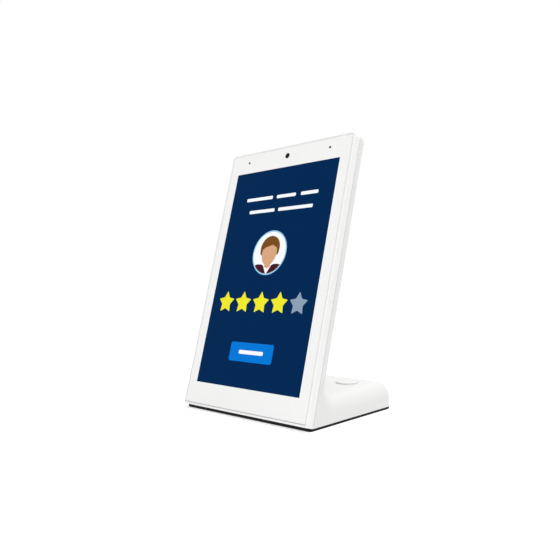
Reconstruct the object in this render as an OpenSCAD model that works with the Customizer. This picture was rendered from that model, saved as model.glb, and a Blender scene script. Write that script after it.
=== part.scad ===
// Customer feedback tablet: a leaning touch screen whose back flows into a flat foot with a push button.
// Millimetres, +Z up. The screen looks toward -Y, and +X is on the right of someone facing it.
// The origin is in the middle of the footprint, on the plane that the feet stand on.

/* [Screen] */
// Width of the lit picture
screen_w = 135.6; // [120:0.2:150]
// Height of the lit picture
screen_h = 217; // [195:0.5:240]
// White border at each side of the picture
border_side = 11.6; // [11:0.1:18]
// White border above and below the picture
border_end = 21.4; // [20:0.1:28]
// Cover glass thickness
glass_t = 1.8; // [1.4:0.1:2.4]
// Gap round the cover glass
glass_gap = 0.3; // [0.2:0.05:0.5]
// Corner radius of the cover glass
glass_corner_r = 1; // [0.5:0.1:2]
// Camera and microphones, below the top edge of the glass
sensor_drop = 9.6; // [9:0.1:11]
// Microphones, to each side of the middle
mic_spread = 54; // [44:0.5:55]
// Microphone hole in the glass
mic_hole_d = 1.2; // [0.8:0.1:1.6]

/* [Frame] */
// Rim beside and above the glass
rim_w = 2.4; // [2.2:0.1:3.4]
// Rim below the glass, on the slant
chin_h = 2.2; // [2:0.1:4]
// Rounding of the rim's front edge
rim_edge_r = 1.2; // [0.6:0.1:1.5]
// Frame depth behind the front face
frame_t = 7; // [6.6:0.1:8]
// Web that carries the glass and the inner parts
web_t = 2; // [1.6:0.1:2.4]
// Thin wall that laps over the lip of the rear shell
thin_wall = 1; // [0.8:0.1:1.1]

/* [Rear shell] */
// Lean of the screen from upright, degrees
lean = 16.5; // [12:0.5:22]
// Thickness of the tablet
tablet_t = 17; // [16.6:0.1:20]
// Wall of the shell
shell_wall = 2.2; // [2:0.1:2.4]
// Rounding of the tablet's back edges
back_edge_r = 6; // [5:0.2:7]
// Groove between frame and shell
seam_w = 0.8; // [0.4:0.1:1]
// Depth of that groove
seam_deep = 0.4; // [0.3:0.05:0.8]

/* [Foot] */
// Depth of the foot from front to rear
base_depth = 128; // [122:1:150]
// Height of the foot's top above the table
base_h = 25.4; // [25.2:0.2:31.2]
// Rounding of the foot's top and rear edges
base_edge_r = 14; // [11:0.5:14.5]
// Hollow rounding where the back meets the foot
inner_corner_r = 12; // [6:0.5:14]
// Black bottom cover thickness
cover_t = 4.1; // [3.8:0.1:4.4]
// Bottom cover, back from the shell's sides and rear
cover_inset = 0.3; // [0.1:0.1:2]
// Bottom cover, back from the lower edge of the frame
cover_setback = 4.2; // [1:0.1:4.6]
// Front corner radius of the bottom cover
cover_corner_r = 4; // [1:0.5:6]
// Lap of the shell's wall over the edge of the bottom cover
cover_lap = 2.1; // [1.4:0.1:2.4]
// Gap under the bottom cover
foot_proud = 0.3; // [0.2:0.1:1.5]
// Rubber foot diameter
foot_d = 14; // [10:0.5:18]

/* [Button] */
// Hole for the button in the foot's top
button_d = 22; // [20:0.5:25]
// Height of the button over the foot
button_proud = 1.4; // [1.2:0.1:2.5]
// Travel of the button
button_travel = 1; // [0.6:0.1:1.1]
// Button centre from the right side
button_from_side = 30.2; // [28:0.2:32]
// Button centre from the rear edge
button_from_rear = 35.4; // [34:0.2:50]
// Clearance round the button cap
button_clear = 0.25; // [0.2:0.05:0.4]

/* [Boards] */
// Main board width
board_w = 110; // [90:1:120]
// Main board height
board_h = 90; // [80:1:100]
// Main board thickness
board_t = 1.4; // [1:0.1:1.6]
// Standoffs between chassis and main board
standoff_h = 2; // [1.6:0.1:2.2]
// Chassis plate thickness
chassis_t = 1; // [0.8:0.1:1.2]

/* [Ports] */
// Width of the port recess in the rear
alcove_w = 72; // [70:1:76]
// Depth of the port recess
alcove_depth = 16; // [12:0.5:18]
// Socket board over the bottom cover
io_lift = 2.2; // [1.6:0.1:2.4]

/* [Hidden] */
$fn = 48;
// Fits and small gaps
fit = 0.1;
slide_fit = 0.3;
screw_fit = 0.05;
far = 400;
// Outline of the tablet
glass_w = screen_w + 2 * border_side;
glass_h = screen_h + 2 * border_end;
half_w = glass_w / 2 + rim_w;
tablet_top = glass_h + rim_w;
seat_z = foot_proud + cover_t;
skirt_z = seat_z - cover_lap;
face_z = seat_z + chin_h * cos(lean);
face_y = -base_depth / 2 + chin_h * sin(lean);
base_rear = base_depth / 2;
// The side edges round a little less than the ends, so no arc closes to a point
edge_ease = 0.4;
corner_r = back_edge_r - edge_ease;
// Steps in each rounding
edge_steps = 4;
round_steps = 9;
hollow_steps = 8;
// Layers behind the glass, as depths from the front face
tape_t = 0.5;
web_front = glass_t + tape_t;
web_back = web_front + web_t;
panel_t = 1.3;
guide_t = 1.6;
tray_wall = 0.5;
panel_front = web_front + fit;
panel_back = panel_front + panel_t;
guide_front = panel_back + fit;
guide_back = guide_front + guide_t;
tray_floor = guide_back + fit;
tray_back = tray_floor + tray_wall;
chassis_back = tray_back + chassis_t;
board_front = chassis_back + standoff_h;
board_back = board_front + board_t;
chip_t = 1.2;
pad_t = 0.5;
spreader_t = 1.2;
chip_back = board_back + chip_t;
pad_back = chip_back + pad_t;
spreader_back = pad_back + spreader_t;
seam_d = frame_t + seam_w;
shell_inside = tablet_t - shell_wall;
// Display module and the window for it in the web
tray_margin = 3;
tray_half = screen_w / 2 + tray_margin;
tray_low = border_end - tray_margin;
tray_high = border_end + screen_h + tray_margin;
window_half = tray_half + fit * 5;
window_low = tray_low - fit * 5;
window_high = tray_high + fit * 5;
tape_lap = 1.6;
// Lip of the shell, which stays within the thickness of its wall
lip_play = 0.15;
lip_ease = 0.25;
lip_t = shell_wall - thin_wall - 2 * lip_play;
lip_half = half_w - thin_wall - lip_play;
lip_top = tablet_top - thin_wall - lip_play;
// A little rounder than the wall it follows, so that its corners never bind
lip_r = corner_r - thin_wall - lip_play + lip_ease;
lip_root = 1;
lip_front = web_back + fit * 4;
// Camera and microphones
sensor_s = glass_h - sensor_drop;
camera_w = 8.6;
camera_t = 2.6;
camera_seat = tray_back;
camera_front = camera_seat - camera_t;
lens_d = 6.4;
lens_stop_d = 3;
lens_stop_l = 1.2;
boot_d = 6;
boot_bore_d = 4.2;
mic_d = 4;
mic_t = 1.5;
mic_lift = 0.3;
mic_room = 0.5;
mic_back = tray_back - mic_lift;
// Screws, by shank diameter
m2_d = 1.9;
m2_head_d = 3.8;
m2_head_t = 1.1;
m25_d = 2.4;
m25_head_d = 4.8;
m25_head_t = 1.5;
m3_d = 2.9;
m3_head_d = 5.4;
m3_head_t = 1.2;
bite = 0.4;
// Posts that join frame and shell
post_d = 6;
post_low = 60;
post_drop = 24;
boss_d = 7;
post_x = (window_half + lip_half - lip_t) / 2;
post_s = [post_low, (post_low + tablet_top - post_drop) / 2, tablet_top - post_drop];
post_over = 2;
post_end = chassis_back + post_over;
screw_floor = 2.2;
bore_floor = post_end + screw_floor;
// Posts for the chassis plate
chassis_half = window_half + fit * 3;
chassis_low = 6;
chassis_drop = 4;
chassis_high = glass_h - chassis_drop;
fix_gap = 10;
fix_x = mic_spread + fix_gap;
fix_s = [border_end / 2, sensor_s];
// Main board
board_low = 95;
board_high = board_low + board_h;
board_edge = 5;
standoff_d = 5;
chip_w = 17;
chip_s = board_low + board_h / 2;
memory_w = 10;
memory_h = 7.5;
memory_gap = 2.4;
coil_w = 5.5;
coil_over = 1;
coil_pitch = 8;
coil_x = 30;
coil_drop = 16;
spreader_w = 60;
spreader_h = 44;
spreader_foot_d = 4;
plug_t = 1.8;
plug_h = 4;
plug_in = 1;
flex_t = 0.2;
flex_plug_front = chassis_back + 2 * flex_t;
display_flex_w = 40;
sensor_flex_w = 6;
sensor_flex_h = 3;
io_cable_w = 24;
io_cable_t = 0.8;
io_cable_turn = 12;
io_cable_run = 14;
cable_plug_back = board_back + plug_t + io_cable_t;
slot_w = 1.4;
flex_drop = 5;
tail_rise = 2;
flex_slot_s = tray_low - flex_drop;
tail_slot_s = tray_high + tail_rise;
flex_depth = guide_back - 3 * flex_t;
antenna_x = 40;
antenna_w = 40;
antenna_h = 8;
// Speakers
speaker_w = 22;
speaker_low = 32;
speaker_high = 84;
speaker_in = 2;
speaker_x = tray_half - speaker_w / 2 - speaker_in;
speaker_wall = 1.2;
gasket_t = 0.6;
gasket_w = 1.5;
speaker_back = shell_inside - gasket_t;
cone_d = 16;
cone_s = (speaker_low + speaker_high) / 2;
cone_dish = 1.2;
cone_r = 3;
cone_rim = 1.5;
cone_t = 0.4;
grille_n = 7;
grille_pitch = 3.2;
grille_slot = 1.5;
grille_len = 15;
// Foot inside
roof_z = base_h - shell_wall;
cover_boss_d = 8;
cover_boss_x = half_w - shell_wall - cover_boss_d / 2 + fit * 3;
cover_boss_in = 24;
cover_boss_y = base_rear - cover_boss_in;
cover_boss_h = 11;
cover_screw_l = 8;
// The cover's plate fits within the shell's walls and ends behind the web of the frame
plate_inset = shell_wall + slide_fit;
plate_front = web_back / cos(lean) + 1;
foot_sink = 0.8;
foot_in = 20;
foot_x = half_w - foot_in;
foot_y = base_rear - foot_in;
// Port recess and socket board
alcove_y = base_rear - alcove_depth;
alcove_sill = 1.8;
alcove_roof = 1.6;
alcove_sill_z = seat_z + alcove_sill;
alcove_top_z = roof_z - alcove_roof;
io_t = 1.6;
io_z = seat_z + io_lift;
io_top = io_z + io_t;
io_half = 40;
io_l = 28;
io_edge = 4;
io_rear = alcove_y - shell_wall - fit * 4;
io_front = io_rear - io_l;
io_screw_x = io_half - io_edge;
io_screw_y = [io_front + io_edge, io_rear - io_edge];
// Ballast on its pegs, which ends short of the socket board
ballast_half = 56;
ballast_from_front = 26;
ballast_gap = 9.4;
ballast_front = ballast_from_front - base_rear;
ballast_rear = io_front - ballast_gap;
ballast_t = 3;
peg_d = 4;
peg_in = 7;
peg_proud = 0.6;
mouth_y = alcove_y - fit * 2;
port_gap = 0.3;
net_x = -24;
net_w = 16;
net_h = 12.6;
net_l = 20;
net_hole_w = 11.8;
net_hole_h = 7.6;
net_hole_rise = 2.2;
net_hole_z = io_top + net_hole_rise;
net_hole_l = 13;
net_key_w = 4.4;
net_key_h = 1.8;
net_pins = 8;
net_pitch = 1.02;
net_pin_w = 0.5;
net_pin_in = 2;
dc_x = -6;
dc_w = 9;
dc_h = 11;
dc_l = 14;
dc_bore_d = 6.4;
dc_bore_l = 10;
dc_rise = 6.4;
dc_axis_z = io_top + dc_rise;
dc_pin_d = 2;
dc_pin_in = 1;
usb_x = 10;
usb_w = 13.2;
usb_h = 5.8;
usb_l = 14;
usb_wall = 0.4;
usb_tongue_w = 11;
usb_tongue_h = 1.8;
usb_tongue_l = 9;
usb_tongue_drop = 1.2;
usb_back = 2;
usb_lift = 0.4;
usbc_x = 27;
usbc_w = 9;
usbc_h = 3.3;
usbc_l = 8;
usbc_wall = 0.35;
usbc_tongue_w = 6.6;
usbc_tongue_h = 0.7;
usbc_tongue_l = 5;
usbc_back = 2;
// Button and its switch
button_x = half_w - button_from_side;
button_y = base_rear - button_from_rear;
cap_r = button_d / 2 - button_clear;
cap_top = base_h + button_proud;
cap_edge_r = 0.8;
cap_dish = 0.4;
cap_wall = 2;
cap_skirt = 1.6;
cap_roof = cap_top - cap_wall - cap_dish;
flange_w = 1.4;
flange_r = button_d / 2 + flange_w;
flange_top = roof_z - fit;
flange_t = 1.4;
stem_r = 2.4;
switch_drop = 9;
switch_top = roof_z - switch_drop;
switch_board_t = 1.6;
switch_board_z = switch_top - switch_board_t;
switch_board_w = 20;
switch_boss_d = 5.5;
switch_boss_gap = 1.2;
switch_reach = flange_r + switch_boss_d / 2 + switch_boss_gap;
switch_board_l = 2 * switch_reach + switch_boss_d;
switch_screw_grip = 5;
switch_w = 6;
switch_h = 3.6;
plunger_d = 3.4;
plunger_spare = 0.3;
plunger_over = button_travel + plunger_spare;
plunger_in = 1.6;
plunger_top = switch_top + switch_h + plunger_over;
lead_t = 0.8;
lead_w = 4;
lead_lap = 5;
lead_end = 2;
spring_r = 7;
spring_wire = 1;
spring_turns = 5;
spring_rings = 8;
spring_sides = 6;
spring_low = switch_top + spring_wire / 2 + fit;
spring_high = cap_roof - spring_wire / 2 - fit;
// Colours
white_plastic = "#F1F1F1";
black_plastic = "#17181A";
board_green = "#1F5C3A";
steel_grey = "#B9BDC2";
chip_black = "#222326";

// A point of the side view, [y, z], from its place up the face and its depth behind it
function face_point(up, depth) = [
  face_y + up * sin(lean) + depth * cos(lean),
  face_z + up * cos(lean) - depth * sin(lean)];
// The place up the face where a depth crosses a level
function up_at(level, depth) = (level - face_z + depth * sin(lean)) / cos(lean);
function spoke(angle) = [cos(angle), sin(angle)];
function arc(centre, radius, start, end, steps) = [
  for (i = [0 : steps]) centre + radius * spoke(start + (end - start) * i / steps)];

// Outline of a sheet with two round top corners
function arch(half, low, high, radius) = concat(
  [[half, low]],
  arc([half - radius, high - radius], radius, 0, 90, hollow_steps),
  arc([radius - half, high - radius], radius, 90, 180, hollow_steps),
  [[-half, low]]);

// Footprint, drawn in by one margin at the front and by another elsewhere, with round rear corners
function footprint(margin, front_margin) = let (
  half = half_w - margin,
  rear = base_rear - margin,
  front = front_margin - base_depth / 2,
  radius = base_edge_r - edge_ease - margin,
  nose = cover_corner_r) concat(
  arc([half - nose, front + nose], nose, -90, 0, edge_steps),
  arc([half - radius, rear - radius], radius, 0, 90, round_steps),
  arc([radius - half, rear - radius], radius, 90, 180, round_steps),
  arc([nose - half, front + nose], nose, 180, 270, edge_steps));

// Section of an edge with one round corner: run, then depth
function edge_section(run, radius, depth) = concat(
  [[0, depth], [0, 0]],
  arc([run - radius, radius], radius, -90, 0, edge_steps),
  [[run, depth]]);

// A strip of even thickness along a bent line
function unit(v) = v / norm(v);
function left_of(v) = [-v[1], v[0]];
function strip_side(line, shift) = [
  for (i = [0 : len(line) - 1]) let (
    into = unit(i > 0 ? line[i] - line[i - 1] : line[1] - line[0]),
    out = unit(i < len(line) - 1 ? line[i + 1] - line[i] : into),
    mitre = unit(left_of(into) + left_of(out)))
  line[i] + mitre * shift / (mitre * left_of(into))];
function flipped(list) = [for (i = [len(list) - 1 : -1 : 0]) list[i]];
function strip(line, t) = concat(strip_side(line, t / 2), flipped(strip_side(line, -t / 2)));

// Side view of the shell as stations: point, way inward, radius of the edge beside it.
// It runs up the seam, over the top, down the back, through the hollow, over the foot and down its rear.
function shell_stations(margin, open) = let (
  top = tablet_top - margin,
  back = tablet_t - margin,
  roof = base_h - margin,
  rear = base_rear - margin,
  bend = back_edge_r - margin,
  curl = base_edge_r - margin,
  hollow = inner_corner_r + margin,
  seam = seam_d - open,
  floor_z = skirt_z - open,
  slim = bend - edge_ease,
  wide = curl - edge_ease,
  bend_at = face_point(top - bend, back - bend),
  hollow_at = face_point(up_at(roof + hollow, back + hollow), back + hollow),
  curl_at = [rear - curl, roof - curl]) concat(
  [[face_point(up_at(floor_z, seam), seam), [0, 0], slim],
    [face_point(top, seam), -spoke(90 - lean), slim]],
  [for (i = [0 : round_steps]) let (way = spoke(90 - lean - 90 * i / round_steps))
    [bend_at + bend * way, -way, slim]],
  [for (i = [0 : hollow_steps]) let (way = spoke(180 - lean + (90 + lean) * i / hollow_steps))
    [hollow_at + hollow * way, way, slim + (wide - slim) * i / hollow_steps]],
  [for (i = [0 : round_steps]) let (way = spoke(90 - 90 * i / round_steps))
    [curl_at + curl * way, -way, wide]],
  [[[rear, floor_z], [-1, 0], wide]]);

// One outline of the shell at a side angle: 0 is the full outline, 90 the flat side
function shell_ring(stations, half, side, angle) = [
  for (s = stations) let (flat = s[0] + s[1] * s[2] * (1 - cos(angle)))
  [side * (half - s[2] + s[2] * sin(angle)), flat[0], flat[1]]];

module shell_body(margin, open) {
  stations = shell_stations(margin, open);
  half = half_w - margin;
  count = len(stations);
  rings = concat(
    [for (i = [round_steps : -1 : 0]) shell_ring(stations, half, -1, 90 * i / round_steps)],
    [for (i = [0 : round_steps]) shell_ring(stations, half, 1, 90 * i / round_steps)]);
  last = len(rings) - 1;
  skin = [for (r = [0 : last - 1]) for (k = [0 : count - 1]) let (
      a = r * count + k,
      b = r * count + (k + 1) % count)
    each [[a, b, b + count], [a, b + count, a + count]]];
  left_cap = concat([0], [for (k = [count - 1 : -1 : 1]) k]);
  right_cap = [for (k = [0 : count - 1]) last * count + k];
  polyhedron(points = [for (r = rings) each r], faces = concat(skin, [left_cap, right_cap]), convexity = 6);
}

// Places its children on the leaning face: X across, Y up the face, Z out of the glass
module on_face() translate([0, face_y, face_z]) rotate([90 - lean, 0, 0]) children();
// A layer of the tablet between two depths
module layer(front, back) translate([0, 0, -back]) linear_extrude(back - front) children();
module rod(x, up, front, back, d) translate([x, up, -back]) cylinder(h = back - front, d = d);
module pane(half, low, high) translate([-half, low]) square([2 * half, high - low]);
module slab(x, up, w, h, front, back) translate([x - w / 2, up - h / 2, -back]) cube([w, h, back - front]);
// Sweeps a side view of [up, depth] across the tablet
module across(width) translate([width / 2, 0, 0]) rotate([0, 0, 90]) rotate([-90, 0, 0])
  linear_extrude(width) children();
// Sweeps a side view of [y, z] across the foot
module along_x(width) translate([-width / 2, 0, 0]) rotate([90, 0, 90]) linear_extrude(width) children();
module below_skirt() translate([-far, -far, skirt_z - far]) cube([2 * far, 2 * far, far]);
// A cylinder that runs to the rear
module rearward(x, y, z, length, d) translate([x, y, z]) rotate([-90, 0, 0]) cylinder(h = length, d = d);
module rear_box(x, w, y0, y1, z0, z1) translate([x - w / 2, y0, z0]) cube([w, y1 - y0, z1 - z0]);
module at_posts() for (side = [-1, 1]) for (up = post_s) translate([side * post_x, up, 0]) children();
module at_fixings() for (side = [-1, 1]) for (up = fix_s) translate([side * fix_x, up, 0]) children();
module at_standoffs() for (side = [-1, 1]) for (up = [board_low + board_edge, board_high - board_edge])
  translate([side * (board_w / 2 - board_edge), up, 0]) children();
module at_cover_bosses() for (side = [-1, 1]) for (way = [-1, 1])
  translate([side * cover_boss_x, way * cover_boss_y, 0]) children();
module at_feet() for (side = [-1, 1]) for (way = [-1, 1])
  translate([side * foot_x, way * foot_y, 0]) children();
module at_pegs() for (side = [-1, 1]) for (y = [ballast_front + peg_in, ballast_rear - peg_in])
  translate([side * (ballast_half - peg_in), y, 0]) children();
module at_socket_screws() for (side = [-1, 1]) for (y = io_screw_y)
  translate([side * io_screw_x, y, 0]) children();
module at_switch_bosses() for (way = [-1, 1])
  translate([button_x, button_y + way * switch_reach, 0]) children();
module at_microphones() for (side = [-1, 1]) translate([side * mic_spread, sensor_s, 0]) children();
module at_speakers() for (side = [-1, 1]) translate([side * speaker_x, 0, 0]) children();

// The solid that the front frame is cut from, with a rounded front edge
module frame_block() {
  rise = tablet_top - corner_r;
  translate([0, -chin_h, 0]) rotate([-90, 0, 0]) linear_extrude(rise + chin_h)
    polygon(concat(
      [[half_w, frame_t]],
      flipped(arc([half_w - rim_edge_r, rim_edge_r], rim_edge_r, -90, 0, edge_steps)),
      flipped(arc([rim_edge_r - half_w, rim_edge_r], rim_edge_r, 180, 270, edge_steps)),
      [[-half_w, frame_t]]));
  translate([0, rise, 0]) across(2 * (half_w - corner_r))
    polygon(edge_section(corner_r, rim_edge_r, frame_t));
  for (turn = [0, 1]) mirror([turn, 0, 0]) translate([half_w - corner_r, rise, 0]) rotate_extrude(angle = 90)
    polygon([for (p = edge_section(corner_r, rim_edge_r, frame_t)) [p[0], -p[1]]]);
}

module front_frame() color(white_plastic) difference() {
  on_face() {
    difference() {
      frame_block();
      layer(-rim_edge_r, web_front) pane(glass_w / 2 + glass_gap, -glass_gap, glass_h + glass_gap);
      layer(web_back, frame_t + 1)
        polygon(arch(half_w - thin_wall, -far / 4, tablet_top - thin_wall, corner_r - thin_wall));
      layer(0, frame_t) pane(window_half, window_low, window_high);
      slab(0, sensor_s, camera_w + 2 * slide_fit, camera_w + 2 * slide_fit, 0, frame_t);
      at_microphones() rod(0, 0, 0, frame_t, boot_d + slide_fit);
      at_fixings() rod(0, 0, web_front + bite, frame_t, m2_d + 2 * screw_fit);
      at_posts() rod(0, 0, web_front + bite, frame_t, m25_d + 2 * screw_fit);
    }
    at_posts() difference() {
      rod(0, 0, web_back, post_end, post_d);
      rod(0, 0, web_front, post_end + 1, m25_d + 2 * screw_fit);
    }
    at_fixings() difference() {
      rod(0, 0, web_back, tray_back, post_d);
      rod(0, 0, web_front, tray_back + 1, m2_d + 2 * screw_fit);
    }
  }
  below_skirt();
}

module cover_glass() color("#DDE6EC") on_face() layer(0, glass_t) difference() {
  polygon(concat(
    arc([glass_w / 2 - glass_corner_r, glass_corner_r], glass_corner_r, -90, 0, edge_steps),
    arc([glass_w / 2 - glass_corner_r, glass_h - glass_corner_r], glass_corner_r, 0, 90, edge_steps),
    arc([glass_corner_r - glass_w / 2, glass_h - glass_corner_r], glass_corner_r, 90, 180, edge_steps),
    arc([glass_corner_r - glass_w / 2, glass_corner_r], glass_corner_r, 180, 270, edge_steps)));
  at_microphones() circle(d = mic_hole_d);
}

module glass_tape() color("#2B2C30") on_face() layer(glass_t, web_front) difference() {
  pane(glass_w / 2 - fit * 2, fit * 2, glass_h - fit * 2);
  pane(window_half + tape_lap, window_low - tape_lap, window_high + tape_lap);
  translate([-camera_w / 2 - slide_fit, sensor_s - camera_w / 2 - slide_fit])
    square(camera_w + 2 * slide_fit);
  at_microphones() circle(d = boot_d + slide_fit);
}

module touch_sensor() color("#9FB4C4") on_face() layer(glass_t, web_front)
  pane(window_half + tape_lap - fit * 5, window_low - tape_lap + fit * 5, window_high + tape_lap - fit * 5);

module display_panel() color("#0B1B33") on_face() layer(panel_front, panel_back)
  pane(tray_half - tray_wall - fit, tray_low + tray_wall + fit, tray_high - tray_wall - fit);

module light_guide() color("#F4F7FA") on_face() layer(guide_front, guide_back)
  pane(tray_half - tray_wall - fit, tray_low + tray_wall + fit, tray_high - tray_wall - fit);

module backlight_tray() color(steel_grey) on_face() difference() {
  layer(panel_front, tray_back) pane(tray_half, tray_low, tray_high);
  layer(panel_front - 1, tray_floor) pane(tray_half - tray_wall, tray_low + tray_wall, tray_high - tray_wall);
}

module chassis_plate() color(steel_grey) on_face() difference() {
  union() {
    layer(tray_back, chassis_back) pane(chassis_half, chassis_low, chassis_high);
    at_standoffs() rod(0, 0, chassis_back - fit, board_front, standoff_d);
  }
  at_standoffs() rod(0, 0, tray_back - 1, board_front + 1, m2_d + 2 * screw_fit);
  at_fixings() rod(0, 0, tray_back - 1, chassis_back + 1, m2_d + 2 * fit);
  slab(0, flex_slot_s, display_flex_w + 2, slot_w, tray_back - 1, chassis_back + 1);
  slab(0, tail_slot_s, sensor_flex_w + 2, slot_w, tray_back - 1, chassis_back + 1);
}

// A pan head screw whose head sits on a depth and whose shank runs forward
module face_screw(seat, tip, d, head_d, head_t) {
  rod(0, 0, tip, seat + fit, d);
  rod(0, 0, seat, seat + head_t, head_d);
}

module chassis_screws() color(steel_grey) on_face() at_fixings()
  face_screw(chassis_back, web_front + 2 * bite, m2_d, m2_head_d, m2_head_t);

module main_board() color(board_green) on_face() difference() {
  layer(board_front, board_back) pane(board_w / 2, board_low, board_high);
  at_standoffs() rod(0, 0, board_front - 1, board_back + 1, m2_d + 2 * fit);
}

module board_screws() color(steel_grey) on_face() at_standoffs()
  face_screw(board_back, tray_back + bite, m2_d, m2_head_d, m2_head_t);

module processor_chip() color(chip_black) on_face() slab(0, chip_s, chip_w, chip_w, board_back, chip_back);

module memory_chips() color(chip_black) on_face() for (side = [-1, 1]) for (row = [-1, 1])
  slab(side * (chip_w + memory_w + memory_gap) / 2, chip_s + row * (memory_h + memory_gap) / 2,
    memory_w, memory_h, board_back, chip_back - fit);

module power_parts() color("#5A5D63") on_face() for (side = [-1, 1]) for (i = [-2 : 2])
  slab(side * coil_x + i * coil_pitch, board_high - coil_drop, coil_w, coil_w,
    board_back, chip_back + coil_over);

// Flat cable sockets: one for the picture, one for the sensors, one for the foot, and its mate there
module board_plugs() color("#E7E2D2") {
  on_face() {
    slab(0, board_low + plug_in + plug_h / 2, display_flex_w + plug_h, plug_h, flex_plug_front, board_front);
    slab(0, board_high - plug_in - plug_h / 2, sensor_flex_w + plug_h, plug_h, flex_plug_front, board_front);
    slab(0, board_low + plug_in + plug_h / 2, io_cable_w + plug_h, plug_h, board_back, cable_plug_back);
  }
  rear_box(0, io_cable_w + plug_h, io_front + plug_in, io_front + plug_in + plug_h,
    io_top, io_top + plug_t + io_cable_t);
}

module thermal_pad() color("#8FA7B8") on_face() slab(0, chip_s, chip_w - 1, chip_w - 1, chip_back, pad_back);

module heat_spreader() color("#C9CDD2") on_face() {
  slab(0, chip_s, spreader_w, spreader_h, pad_back, spreader_back);
  for (side = [-1, 1]) for (way = [-1, 1])
    rod(side * (spreader_w / 2 - spreader_foot_d), chip_s + way * (spreader_h / 2 - spreader_foot_d),
      board_back, pad_back + fit, spreader_foot_d);
}

module display_flex() color("#B9762B") on_face() across(display_flex_w) polygon(strip([
  [tray_low - fit, flex_depth],
  [flex_slot_s, flex_depth],
  [flex_slot_s, chassis_back + flex_t],
  [board_low + plug_h, chassis_back + flex_t]], flex_t));

module camera_housing() color(chip_black) on_face() difference() {
  slab(0, sensor_s, camera_w, camera_w, camera_front, camera_seat);
  rod(0, sensor_s, camera_front - 1, camera_front + lens_stop_l, lens_stop_d);
}

module camera_lens() color("#101216") on_face() difference() {
  rod(0, sensor_s, glass_t + fit, camera_front, lens_d);
  rod(0, sensor_s, glass_t - 1, camera_front + 1, lens_stop_d);
}

module microphone_boots() color("#303236") on_face() at_microphones() difference() {
  rod(0, 0, glass_t + fit, tray_back, boot_d);
  rod(0, 0, mic_back - mic_t - mic_room, tray_back + 1, boot_bore_d);
  rod(0, 0, 0, tray_back, mic_hole_d);
}

module microphones() color(steel_grey) on_face() at_microphones()
  rod(0, 0, mic_back - mic_t, mic_back, mic_d);

module sensor_flex() color("#B9762B") on_face() {
  layer(tray_back - flex_t, tray_back) translate([0, tray_high + fit * 6])
    polygon([[-mic_spread, 0], [mic_spread, 0], [mic_spread, sensor_flex_h], [-mic_spread, sensor_flex_h]]);
  across(sensor_flex_w) polygon(strip([
    [tail_slot_s, tray_back - flex_t * 0.75],
    [tail_slot_s, chassis_back + flex_t],
    [board_high - plug_h, chassis_back + flex_t]], flex_t));
}

module speaker_boxes() color("#2A2B2F") on_face() at_speakers() difference() {
  slab(0, cone_s, speaker_w, speaker_high - speaker_low, chassis_back, speaker_back);
  slab(0, cone_s, speaker_w - 2 * speaker_wall, speaker_high - speaker_low - 2 * speaker_wall,
    chassis_back + speaker_wall, speaker_back - speaker_wall);
  rod(0, cone_s, speaker_back - 2 * speaker_wall, speaker_back + 1, cone_d + slide_fit);
}

// Paper cone with a flat rim, turned about the speaker's axis
module speaker_cones() color("#3A3C40") on_face() at_speakers() translate([0, cone_s, -speaker_back])
  rotate_extrude() polygon([
    [0, cone_dish + cone_t], [cone_r, cone_dish + cone_t],
    [cone_d / 2 - cone_rim, cone_t], [cone_d / 2, cone_t],
    [cone_d / 2, 0], [cone_d / 2 - cone_rim, 0],
    [cone_r, cone_dish], [0, cone_dish]]);

module speaker_gaskets() color("#44474C") on_face() at_speakers() layer(speaker_back, shell_inside)
  translate([0, cone_s]) difference() {
    square([speaker_w, grille_n * grille_pitch + 4 * gasket_w], center = true);
    square([speaker_w - 2 * gasket_w, grille_n * grille_pitch + 2 * gasket_w], center = true);
  }

module wireless_antennas() color("#B9762B") on_face() for (side = [-1, 1])
  slab(side * antenna_x, sensor_s, antenna_w, antenna_h, shell_inside - flex_t, shell_inside);

// The recess for the plugs, joined to the middle of the shell's rear wall
module alcove_block() {
  mid = base_edge_r - shell_wall / 2;
  centre = [base_rear - base_edge_r, base_h - base_edge_r];
  along_x(alcove_w + 2 * shell_wall) polygon(concat(
    [[alcove_y - shell_wall, seat_z], [alcove_y - shell_wall, roof_z + shell_wall / 2]],
    arc(centre, mid, 90, 0, round_steps),
    [[base_rear - shell_wall / 2, seat_z]]));
}

module port_cuts() {
  back = alcove_y - shell_wall - 1;
  front = alcove_y + 1;
  rear_box(net_x, net_w + 2 * port_gap, back, front, io_top - port_gap, io_top + net_h + port_gap);
  rear_box(dc_x, dc_w + 2 * port_gap, back, front, io_top - port_gap, io_top + dc_h + port_gap);
  rear_box(usb_x, usb_w + 2 * port_gap, back, front, io_top - port_gap, io_top + usb_lift + usb_h + port_gap);
  rear_box(usbc_x, usbc_w + 2 * port_gap, back, front, io_top - port_gap, io_top + usbc_h + port_gap);
}

// The lip that the frame laps over, and the neck behind the frame that is the floor of the groove
module shell_lip() on_face() {
  layer(lip_front, seam_d + lip_root) difference() {
    polygon(arch(lip_half, -chin_h, lip_top, lip_r));
    polygon(arch(lip_half - lip_t, -far / 4, lip_top - lip_t, lip_r - lip_t));
  }
  layer(frame_t + fit, seam_d + lip_root / 2) difference() {
    polygon(arch(half_w - seam_deep, -chin_h, tablet_top - seam_deep, corner_r - seam_deep + lip_ease));
    polygon(arch(lip_half - lip_t / 2, -far / 4, lip_top - lip_t / 2, lip_r - lip_t / 2));
  }
}

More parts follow.
